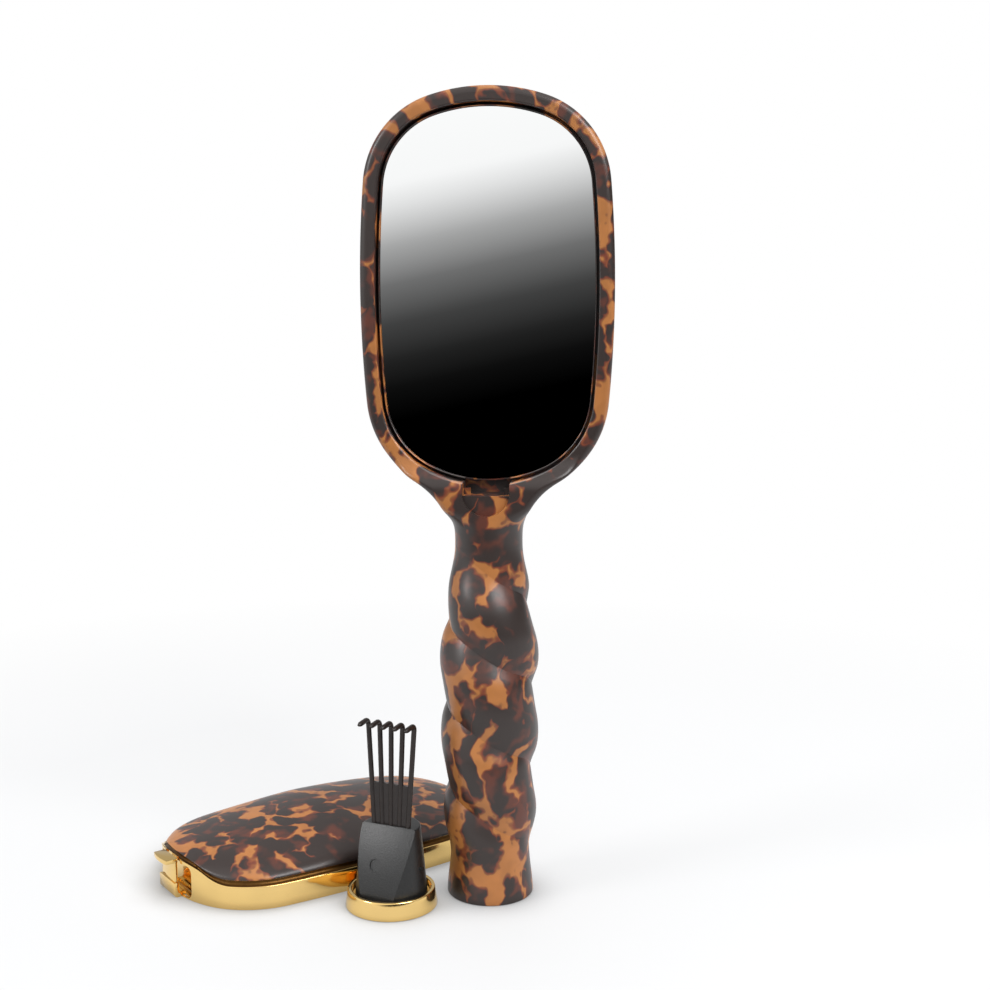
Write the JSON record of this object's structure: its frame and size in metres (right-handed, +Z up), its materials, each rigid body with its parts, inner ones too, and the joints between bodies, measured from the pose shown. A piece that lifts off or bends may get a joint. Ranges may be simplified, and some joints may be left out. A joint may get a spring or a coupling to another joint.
{
  "type": "hairbrush with mirror",
  "caption": "Hand mirror and cushion hairbrush on one twisted hollow handle, with a domed clip-on cover and a hooked cleaning rake that stores in the handle.",
  "frame": {"origin": "centre of the whole set's footprint, on the surface that it stands on", "axes": "+Z up along the handle, the mirror faces -Y, the cover lies on the -X side of the handle"},
  "size_m": [0.1489, 0.1057, 0.25],
  "materials": {
    "tortoiseshell_plastic": "satin tortoiseshell, amber with dark brown patches",
    "gold_plating": "satin gold plating",
    "mirror_glass": "silvered",
    "adhesive_foam": "foam tape",
    "black_plastic": "fine spark texture",
    "dark_nylon": "semi-gloss",
    "cushion_rubber": "matt",
    "pin_nylon": "semi-gloss"
  },
  "bodies": {
    "mirror_brush": {"handle_and_head_frame": "tortoiseshell_plastic", "mirror_tray": "tortoiseshell_plastic", "mirror_adhesive_pad": "adhesive_foam", "mirror_glass": "mirror_glass", "bristle_backing_plate": "black_plastic", "bristle_cushion": "cushion_rubber", "bristle_row_01": "pin_nylon", "bristle_row_02": "pin_nylon", "bristle_row_03": "pin_nylon", "bristle_row_04": "pin_nylon", "bristle_row_05": "pin_nylon", "bristle_row_06": "pin_nylon", "bristle_row_07": "pin_nylon", "bristle_row_08": "pin_nylon", "bristle_row_09": "pin_nylon", "bristle_row_10": "pin_nylon", "bristle_row_11": "pin_nylon", "bristle_row_12": "pin_nylon"},
    "back_cover": {"cover_rim": "gold_plating", "cover_dome": "tortoiseshell_plastic"},
    "latch": {"latch_tongue": "gold_plating"},
    "cleaning_tool": {"tool_end_cap": "gold_plating", "tool_plug_body": "black_plastic", "tool_rake_comb": "dark_nylon"}
  },
  "joints": [
    {"name": "cover_lift", "type": "slide", "parent": "mirror_brush", "child": "back_cover", "axis": [0, 0, 1], "range_m": [0, 0.06]},
    {"name": "tool_lift", "type": "slide", "parent": "mirror_brush", "child": "cleaning_tool", "axis": [0, 0, 1], "range_m": [0, 0.06]},
    {"name": "latch_flex", "type": "hinge", "parent": "back_cover", "child": "latch", "pos_m": [-0.06466, -0.03382, 0.0008], "axis": [-0.6508, 0.7593, 0], "range_deg": [0, 5], "stiffness_Nm_per_rad": 0.05}
  ]
}
